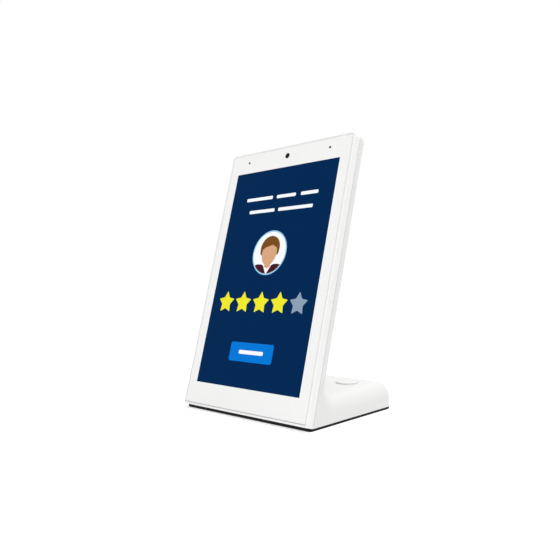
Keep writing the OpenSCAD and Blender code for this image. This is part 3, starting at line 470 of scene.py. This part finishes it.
def make_piece(name, bm, finish, place, smooth=False):
    """A finished mesh, put in its place on the housing."""
    bm.transform(place)
    bmesh.ops.recalc_face_normals(bm, faces=bm.faces)
    mesh = bpy.data.meshes.new(name)
    bm.to_mesh(mesh)
    bm.free()
    if smooth:
        mesh.shade_smooth()
        mesh.set_sharp_from_angle(angle=SHARP_ANGLE)
    obj = bpy.data.objects.new(name, mesh)
    scene.collection.objects.link(obj)
    wear(obj, finish)
    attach(obj, "housing")
    return obj


def ring(bm, outline, height):
    """A closed loop of points at one height."""
    points = [bm.verts.new((x * MM, y * MM, height * MM)) for x, y in outline]
    edges = [bm.edges.new((a, b)) for a, b in zip(points, points[1:] + points[:1])]
    return points, edges


def wall(bm, lower, upper):
    """Faces between two loops of as many points."""
    count = len(lower)
    for i in range(count):
        k = (i + 1) % count
        bm.faces.new((lower[i], lower[k], upper[k], upper[i]))


def cap(bm, *loops):
    """A flat face inside the first loop of edges and outside the others."""
    bmesh.ops.triangle_fill(bm, use_beauty=True, edges=[edge for loop in loops for edge in loop])


def plate(bm, outline, holes, top, bottom):
    """A flat plate between two depths, with holes through it."""
    upper, upper_edges = ring(bm, outline, -top)
    lower, lower_edges = ring(bm, outline, -bottom)
    wall(bm, lower, upper)
    above, below = [upper_edges], [lower_edges]
    for hole in holes:
        upper, upper_edges = ring(bm, hole, -top)
        lower, lower_edges = ring(bm, hole, -bottom)
        wall(bm, upper, lower)
        above.append(upper_edges)
        below.append(lower_edges)
    cap(bm, *above)
    cap(bm, *below)


def inlay(name, outlines, finish, top, bottom, holes=(), smooth=False):
    """Flat shapes of one finish in the leaning face, between two depths."""
    bm = bmesh.new()
    for outline in outlines:
        plate(bm, outline, holes, top, bottom)
    return make_piece(name, bm, finish, FACE, smooth)


def turned(name, profile, finish, place, steps):
    """A piece turned about its axis from a profile of radius and height, closed on the axis at both ends."""
    bm = bmesh.new()
    loops = []
    for radius, height in profile:
        if radius == 0:
            loops.append([bm.verts.new((0, 0, height * MM))])
        else:
            outline = circle(0, 0, radius, steps)
            loops.append([bm.verts.new((x * MM, y * MM, height * MM)) for x, y in outline])
    for a, b in zip(loops, loops[1:]):
        for i in range(steps):
            k = (i + 1) % steps
            corners = [a[i % len(a)], a[k % len(a)], b[k % len(b)], b[i % len(b)]]
            bm.faces.new(list(dict.fromkeys(corners)))
    return make_piece(name, bm, finish, place, smooth=True)


# The cover glass: white print round the picture, a black camera window and two microphone holes

GLASS_EDGE, GLASS_EDGE_STEPS, GLASS_EDGE_BAND = 0.4, 5, 0.6
FIELD_PLAY = 0.02
SEAL_DEEP, SEAL_ENDS = 0.4, 1.5
MIC_RING_R, MIC_RING_DEEP, MIC_RING_SIDES, MIC_HOLE_SIDES = 1.25, 0.02, 32, 24

# The opening for the picture, which shows a little wider and lower than the panel's own lit area
OVER_SIDE, OVER_LOW, SHORT_HIGH = 0.3, 0.7, 0.05
WINDOW_HALF = SCREEN_HALF + OVER_SIDE
WINDOW_LOW, WINDOW_HIGH = SCREEN_LOW - OVER_LOW, SCREEN_LOW + SCREEN_HIGH - SHORT_HIGH

# The camera window as radius and height: a dished lens, a step round it, a sloping flat and an eased rim
CAMERA_R, CAMERA_DEEP, CAMERA_SIDES = 2.8, 1.7, 64
CAMERA_WINDOW = [
    (0, -0.5), (0.5, -0.47), (0.9, -0.38), (1.15, -0.34), (1.25, -0.12), (1.5, -0.1),
    (CAMERA_R - 0.15, -0.04), (CAMERA_R - 0.03, -0.06), (CAMERA_R - FIELD_PLAY, -CAMERA_DEEP),
    (0, -CAMERA_DEEP),
]


def glass_outline(inset):
    """The glass's outline, brought in all round."""
    return round_box(GLASS_HALF - inset, inset, GLASS_HIGH - inset, GLASS_CORNER - inset)


def window(play):
    """The opening for the picture, brought in all round by some play."""
    half, low, high = WINDOW_HALF - play, WINDOW_LOW + play, WINDOW_HIGH - play
    return [(half, low), (half, high), (-half, high), (-half, low)]


def glass_border():
    """The glass with its white print, open for the picture, the camera and the microphones."""
    openings = [window(0), circle(0, SENSOR_UP, CAMERA_R, CAMERA_SIDES)]
    openings += [circle(side * MIC_X, SENSOR_UP, MIC_RING_R, MIC_RING_SIDES) for side in (-1, 1)]
    outline = glass_outline(GLASS_EDGE_BAND + FIELD_PLAY)
    glass = inlay("glass_border", [outline], PRINT_WHITE, 0, GLASS_T, openings, smooth=True)
    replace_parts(glass, "cover_glass")


def glass_edge():
    """The ground edge round the glass: a band with a rounded front corner."""
    section = [(GLASS_EDGE_BAND, GLASS_T), (GLASS_EDGE_BAND, 0)]
    for i in range(GLASS_EDGE_STEPS + 1):
        angle = math.pi / 2 * i / GLASS_EDGE_STEPS
        section.append((GLASS_EDGE * (1 - math.sin(angle)), GLASS_EDGE * (1 - math.cos(angle))))
    section.append((0, GLASS_T))
    bm = bmesh.new()
    loops = [ring(bm, glass_outline(inset), -depth)[0] for inset, depth in section]
    for lower, upper in zip(loops, loops[1:] + loops[:1]):
        wall(bm, lower, upper)
    make_piece("glass_edge", bm, GLASS_GREY, FACE, smooth=True)


def glass_seal():
    """The seal in the gap along the top and the sides of the glass, a little below its face."""
    reach = GLASS_GAP - FIELD_PLAY
    outer = round_box(GLASS_HALF + reach, 0, GLASS_HIGH + reach, GLASS_CORNER + reach)
    inner = round_box(GLASS_HALF + FIELD_PLAY, 0, GLASS_HIGH + FIELD_PLAY, GLASS_CORNER)
    outer, inner = ([(x, y) for x, y in path if y > GLASS_HIGH / 2] for path in (outer, inner))
    outer_end, inner_end = (path[0][0] for path in (outer, inner))
    outline = [(outer_end, SEAL_ENDS)] + outer + [(-outer_end, SEAL_ENDS)]
    outline += [(-inner_end, SEAL_ENDS)] + inner[::-1] + [(inner_end, SEAL_ENDS)]
    inlay("glass_seal", [outline], SEAL_WHITE, SEAL_DEEP, GLASS_T)


def camera_window():
    """The round black window in the top border, with the lens in it."""
    place = FACE @ at(0, SENSOR_UP, 0)
    turned("camera_window", CAMERA_WINDOW, BLACK_GLOSS, place, CAMERA_SIDES)


def microphone_rings():
    """A dark printed ring round each microphone hole."""
    for name, side in (("microphone_ring_left", -1), ("microphone_ring_right", 1)):
        outline = circle(side * MIC_X, SENSOR_UP, MIC_RING_R - FIELD_PLAY, MIC_RING_SIDES)
        hole = circle(side * MIC_X, SENSOR_UP, MIC_D / 2, MIC_HOLE_SIDES)
        inlay(name, [outline], BLACK_GLOSS, MIC_RING_DEEP, GLASS_T, [hole])


# The picture: two lines of plain bars, a badge with a figure, five stars and an answer panel
# Heights are above the lower edge of the panel's lit area, and the figure's points from the badge's middle

HEADING_THICK = 3.4
HEADING = [(186.3, ((-46, -9.5), (-4, 21), (27.5, 49))), (172.8, ((-39, -4), (1, 45)))]
BADGE_UP, BADGE_R, BADGE_RIM, BADGE_SIDES = 129.3, 22.2, 1.3, 96
STAR_UP, STAR_R, STAR_MIDDLE, STAR_PITCH, STAR_COUNT, STARS_GIVEN = 79.9, 11.3, 0.45, 23.94, 5, 4
STAR_TIPS, STAR_WAIST, STAR_EASE = 5, 0.53, 1.1
ANSWER_HALF, ANSWER_LOW, ANSWER_HIGH, ANSWER_CORNER = 28.3, 23.65, 41.65, 2.2
ANSWER_WORD_HALF, ANSWER_WORD_UP, ANSWER_WORD_THICK = 16, 32.65, 3.6
BAR_ROUND, BAR_STEPS = 0.3, 5

HAIR_UP, HAIR_WIDE, HAIR_HIGH, HAIR_STEPS = 4.5, 12.6, 12.2, 28
HAIR_ENDS = [(-12.2, -0.5), (-10.6, -2.5), (10.6, -2.5), (12.2, -0.5)]
HEAD_WIDE, HEAD_HIGH, CHIN_FROM, CHIN_TO, CHIN_STEPS = 9.8, 12.8, 180, 248, 10
NECK = [(-4.2, -13.8), (0, -15.8), (4.2, -13.8)]
FRINGE = [(9.2, 4.5), (3.0, 7.6), (-6.0, 5.2), (-9.2, 3.0)]
COAT_PLAY, COAT_FROM, COAT_TO, COAT_STEPS = 0.1, 216, 268.5, 14
COLLAR = [(-5.4, -12.6), (-8.0, -11.6), (-13.0, -11.3)]

# Depths of the picture's layers under the glass's face, from the field up, and the foot of the inlays
FIELD_DEEP, RIM_DEEP, INLAY_DEEP, HAIR_DEEP, HEAD_DEEP, TOP_DEEP = 0.06, 0.04, 0.03, 0.02, 0.01, 0.0
INLAY_FLOOR = 0.2


def word_bar(start, end, up, thick):
    """A plain bar with rounded ends."""
    bar = round_box((end - start) / 2, -thick / 2, thick / 2, thick * BAR_ROUND, BAR_STEPS)
    return moved(bar, (start + end) / 2, SCREEN_LOW + up)


def star(x, y):
    """A five-pointed star, with tips and notches eased."""
    points = []
    for i in range(2 * STAR_TIPS):
        reach = STAR_R if i % 2 == 0 else STAR_R * STAR_WAIST
        angle = math.pi / 2 + i * math.pi / STAR_TIPS
        points.append((x + reach * math.cos(angle), y + reach * math.sin(angle)))
    return softened(points, STAR_EASE)


def figure_hair():
    """A cap of hair behind the head."""
    return arc(0, HAIR_UP, HAIR_WIDE, HAIR_HIGH, 0, 180, HAIR_STEPS) + HAIR_ENDS


def figure_head():
    """A plain head under a fringe, on its neck."""
    chin = arc(0, 0, HEAD_WIDE, HEAD_HIGH, CHIN_FROM, CHIN_TO, CHIN_STEPS)
    return chin + NECK + mirrored(chin) + FRINGE


def figure_coat():
    """The two halves of a coat, open in a V, that end at the badge's edge."""
    inner = BADGE_R - BADGE_RIM - COAT_PLAY
    half = arc(0, 0, inner, inner, COAT_FROM, COAT_TO, COAT_STEPS) + COLLAR
    return [half, mirrored(half)]


def picture():
    """The lit picture, as flat inlays of one colour each."""
    words = [word_bar(start, end, up, HEADING_THICK) for up, line in HEADING for start, end in line]
    middle = SCREEN_LOW + BADGE_UP
    rim, disc = (circle(0, middle, radius, BADGE_SIDES) for radius in (BADGE_R, BADGE_R - BADGE_RIM))
    places = [STAR_MIDDLE + STAR_PITCH * (i - (STAR_COUNT - 1) / 2) for i in range(STAR_COUNT)]
    stars = [star(x, SCREEN_LOW + STAR_UP) for x in places]
    answer = round_box(ANSWER_HALF, SCREEN_LOW + ANSWER_LOW, SCREEN_LOW + ANSWER_HIGH, ANSWER_CORNER)
    answer_word = word_bar(-ANSWER_WORD_HALF, ANSWER_WORD_HALF, ANSWER_WORD_UP, ANSWER_WORD_THICK)
    layers = [
        ("screen_field", [window(FIELD_PLAY)], NAVY, FIELD_DEEP, GLASS_T),
        ("heading_words", words, LIT_WHITE, INLAY_DEEP, INLAY_FLOOR),
        ("badge_rim", [rim], LIT_SKY, RIM_DEEP, INLAY_FLOOR),
        ("badge_disc", [disc], LIT_WHITE, INLAY_DEEP, INLAY_FLOOR),
        ("badge_hair", [moved(figure_hair(), 0, middle)], LIT_BROWN, HAIR_DEEP, INLAY_DEEP),
        ("badge_head", [moved(figure_head(), 0, middle)], LIT_TAN, HEAD_DEEP, HAIR_DEEP),
        ("badge_coat", [moved(side, 0, middle) for side in figure_coat()], LIT_MAROON, TOP_DEEP, HEAD_DEEP),
        ("stars_given", stars[:STARS_GIVEN], LIT_YELLOW, INLAY_DEEP, INLAY_FLOOR),
        ("star_left", stars[STARS_GIVEN:], LIT_SLATE, INLAY_DEEP, INLAY_FLOOR),
        ("answer_panel", [answer], LIT_BLUE, INLAY_DEEP, INLAY_FLOOR),
        ("answer_word", [answer_word], LIT_WHITE, TOP_DEEP, INLAY_DEEP),
    ]
    for name, outlines, finish, top, bottom in layers:
        inlay(name, outlines, finish, top, bottom)


# Screws with cross recesses, as the head's radius and height and the shank's radius and length

SHELL_SCREW = (2.4, 1.5, 1.2, 6.8)
COVER_SCREW = (2.7, 1.2, 1.45, 7.8)

# Shares of the head: its eased edge, the cross's arms, and how the recess narrows and how deep it goes
HEAD_EDGE, HEAD_EASE = 0.16, 0.3
CROSS_ARM, CROSS_REACH, CROSS_NARROW, CROSS_DEEP = 0.16, 0.5, 0.8, 0.6

# The thread's ridges, and where in a turn the ridge ends and the groove lies
THREAD_PITCH, THREAD_DEEP, RIDGE_END, GROOVE_AT = 0.9, 0.12, 0.3, 0.65
SCREW_TIP, SCREW_SIDES = 0.6, 40


def cross_outline(size):
    """A cross with four equal arms, from the upper arm's right corner round to the left."""
    quarter = [(CROSS_ARM, CROSS_REACH), (-CROSS_ARM, CROSS_REACH), (-CROSS_ARM, CROSS_ARM)]
    points = []
    for _ in range(4):
        points += quarter
        quarter = [(-y, x) for x, y in quarter]
    return [(x * size, y * size) for x, y in points]


def cross_screw(head_r, head_t, shank_r, shank_l):
    """One screw that stands on the underside of its head, with a cross recess and a ridged shank."""
    bm = bmesh.new()
    edge = head_r * HEAD_EDGE
    crown, crown_edges = ring(bm, circle(0, 0, head_r - edge, SCREW_SIDES), head_t)
    cross_top, cross_edges = ring(bm, cross_outline(head_r), head_t)
    cross_low, floor_edges = ring(bm, cross_outline(head_r * CROSS_NARROW), head_t * (1 - CROSS_DEEP))
    cap(bm, crown_edges, cross_edges)
    wall(bm, cross_top, cross_low)
    cap(bm, floor_edges)
    ease = edge * HEAD_EASE
    profile = [(head_r - ease, head_t - ease), (head_r, head_t - edge), (head_r, 0), (shank_r, 0)]
    turns = int(shank_l / THREAD_PITCH)
    pitch = shank_l / turns
    for i in range(turns):
        top = -shank_l * i / turns
        profile += [(shank_r, top - pitch * RIDGE_END), (shank_r - THREAD_DEEP, top - pitch * GROOVE_AT)]
    profile.append((shank_r * SCREW_TIP, -shank_l))
    last = crown
    for radius, height in profile:
        loop, edges = ring(bm, circle(0, 0, radius, SCREW_SIDES), height)
        wall(bm, loop, last)
        last = loop
    cap(bm, edges)
    return bm


def screws(name, node, places, sizes):
    """A group of like screws, in place of the plain ones."""
    bm = bmesh.new()
    for place in places:
        made = cross_screw(*sizes)
        made.transform(place)
        held = bpy.data.meshes.new(name)
        made.to_mesh(held)
        made.free()
        bm.from_mesh(held)
        bpy.data.meshes.remove(held)
    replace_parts(make_piece(name, bm, STEEL, UPRIGHT, smooth=True), node)


def all_screws():
    """The screws in the tablet's back and those under the foot."""
    sides = (-1, 1)
    posts = [FACE @ at(side * POST_X, up, -POST_DEEP) @ TURN_OVER for side in sides for up in POST_UP]
    screws("shell_cross_screws", "shell_screws", posts, SHELL_SCREW)
    seat = COVER_SCREW_Z + COVER_SCREW[1]
    corners = [at(x * COVER_BOSS_X, y * COVER_BOSS_Y, seat) @ TURN_OVER for x in sides for y in sides]
    screws("cover_cross_screws", "cover_screws", corners, COVER_SCREW)


# The button's wound spring

SPRING_RINGS, WIRE_SIDES = 32, 12
spring_low, spring_high = box_mm("button_spring")
SPRING_X, SPRING_Y = ((spring_low + spring_high) / 2).xy
SPRING_R = (spring_high.x - spring_low.x - SPRING_WIRE) / 2


def wound_spring():
    """The button's spring in round wire."""
    count = SPRING_TURNS * SPRING_RINGS
    bm = bmesh.new()
    loops = []
    for i in range(count + 1):
        angle = 2 * math.pi * i / SPRING_RINGS
        height = SPRING_LOW + (SPRING_HIGH - SPRING_LOW) * i / count
        section = [(reach * math.cos(angle), reach * math.sin(angle), up)
                   for reach, up in circle(SPRING_R, height, SPRING_WIRE / 2, WIRE_SIDES)]
        loops.append([bm.verts.new((x * MM, y * MM, z * MM)) for x, y, z in section])
    for a, b in zip(loops, loops[1:]):
        wall(bm, a, b)
    bm.faces.new(loops[0])
    bm.faces.new(loops[-1])
    spring = make_piece("wound_spring", bm, STEEL, at(SPRING_X, SPRING_Y, 0), smooth=True)
    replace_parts(spring, "button_spring")
    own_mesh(spring)


# Floor, surroundings and lamps

# Strength of the light from all round
AROUND = 0.69

# The floor's half side in metres, its grey as it lights the object and as it is seen, and its glow
FLOOR_HALF, FLOOR_GREY, FLOOR_SEEN, FLOOR_GLOW = 6, 0.88, 0.85, 0.43

# The edge of the painted shadow under the foot, where the floor's glow is left out: the foot's edge on the
# floor, a little behind the front of the bottom cover
FOOT_CORNER, FOOT_FRONT_GAP = 13.3, 1.0
cover_low, cover_high = box_mm("bottom_cover")
FOOT_HALF_X, FOOT_FRONT, FOOT_REAR = cover_high.x, cover_low.y + FOOT_FRONT_GAP, cover_high.y

# Softboxes, as name, place, side and power, in metres and watts
LAMP_AIM = (0, 0, 0.12)
LAMPS = [("front_softbox", (0.1, -1.5, 0.5), 1.2, 5.7), ("top_softbox", (0.39, 0.34, 1.38), 0.8, 10.7)]


def seen_directly(tree):
    """1 for a ray from the camera, or one that mirrors or passes through, and 0 for one that lights."""
    path = add(tree, "ShaderNodeLightPath")
    seen = math_node(tree, "MAXIMUM", path.outputs["Is Camera Ray"], path.outputs["Is Glossy Ray"])
    return math_node(tree, "MAXIMUM", seen, path.outputs["Is Transmission Ray"])


def surroundings():
    """White where they are seen, and dimmer where they light the object."""
    world = bpy.data.worlds.new("white_surroundings")
    scene.world = world
    world.use_nodes = True
    tree = world.node_tree
    sky = tree.nodes["Background"]
    sky.inputs["Color"].default_value = (1, 1, 1, 1)
    strength = math_node(tree, "ADD", math_node(tree, "MULTIPLY", seen_directly(tree), 1 - AROUND), AROUND)
    tree.links.new(strength, sky.inputs["Strength"])


def glow_outside_painted_shadow(tree):
    """1 on the open floor, and 0 under the foot: a painted shadow, where the floor's glow is left out so
    that the real shadow there shows dark.
    """
    axes = add(tree, "ShaderNodeSeparateXYZ")
    tree.links.new(object_place(tree), axes.inputs[0])
    aside = math_node(tree, "ABSOLUTE", axes.outputs["X"])
    across = math_node(tree, "SUBTRACT", aside, (FOOT_HALF_X - FOOT_CORNER) * MM)
    along = math_node(tree, "SUBTRACT", axes.outputs["Y"], (FOOT_REAR - FOOT_CORNER) * MM)
    squares = [math_node(tree, "POWER", math_node(tree, "MAXIMUM", way, 0), 2) for way in (across, along)]
    around = math_node(tree, "GREATER_THAN", math_node(tree, "ADD", *squares), (FOOT_CORNER * MM) ** 2)
    before = math_node(tree, "LESS_THAN", axes.outputs["Y"], FOOT_FRONT * MM)
    return math_node(tree, "MAXIMUM", around, before)


def matt(tree, level):
    """A matt grey."""
    shader = add(tree, "ShaderNodeBsdfDiffuse")
    shader.inputs["Color"].default_value = (level, level, level, 1)
    return shader.outputs[0]


def floor_finish():
    """A pale floor that glows a little where it is seen, with the glow left out under the foot as a painted
    shadow, and keeps the object's shadow.
    """
    finish = bpy.data.materials.new("pale_floor")
    finish.use_nodes = True
    tree = finish.node_tree
    tree.nodes.remove(tree.nodes["Principled BSDF"])
    glow = add(tree, "ShaderNodeEmission")
    # Painted shadow: the glow is cut to 0 under the foot, so the floor there shows darker
    tree.links.new(math_node(tree, "MULTIPLY", glow_outside_painted_shadow(tree), FLOOR_GLOW), glow.inputs["Strength"])
    glowing = add(tree, "ShaderNodeAddShader")
    tree.links.new(matt(tree, FLOOR_SEEN), glowing.inputs[0])
    tree.links.new(glow.outputs[0], glowing.inputs[1])
    mix = add(tree, "ShaderNodeMixShader")
    tree.links.new(seen_directly(tree), mix.inputs["Fac"])
    tree.links.new(matt(tree, FLOOR_GREY), mix.inputs[1])
    tree.links.new(glowing.outputs[0], mix.inputs[2])
    tree.links.new(mix.outputs[0], tree.nodes["Material Output"].inputs["Surface"])
    return finish


def floor():
    """A wide floor, which isn't part of the object."""
    bm = bmesh.new()
    bmesh.ops.create_grid(bm, x_segments=1, y_segments=1, size=FLOOR_HALF)
    mesh = bpy.data.meshes.new("floor")
    bm.to_mesh(mesh)
    bm.free()
    ground = bpy.data.objects.new("floor", mesh)
    scene.collection.objects.link(ground)
    wear(ground, floor_finish())


def lamps():
    """Square softboxes that face the object."""
    for name, where, size, power in LAMPS:
        light = bpy.data.lights.new(name, "AREA")
        light.size = size
        light.energy = power
        obj = bpy.data.objects.new(name, light)
        obj.location = where
        obj.rotation_euler = (Vector(LAMP_AIM) - Vector(where)).to_track_quat("-Z", "Y").to_euler()
        scene.collection.objects.link(obj)


scene.view_settings.view_transform = "Standard"
place_camera()
surroundings()
floor()
lamps()
for finish, names in NODE_FINISH.items():
    for name in names:
        wear(nodes[name], finish)
for name, width in EDGE_SOFT.items():
    soften(nodes[name], width)
glass_border()
glass_edge()
glass_seal()
camera_window()
microphone_rings()
picture()
all_screws()
wound_spring()
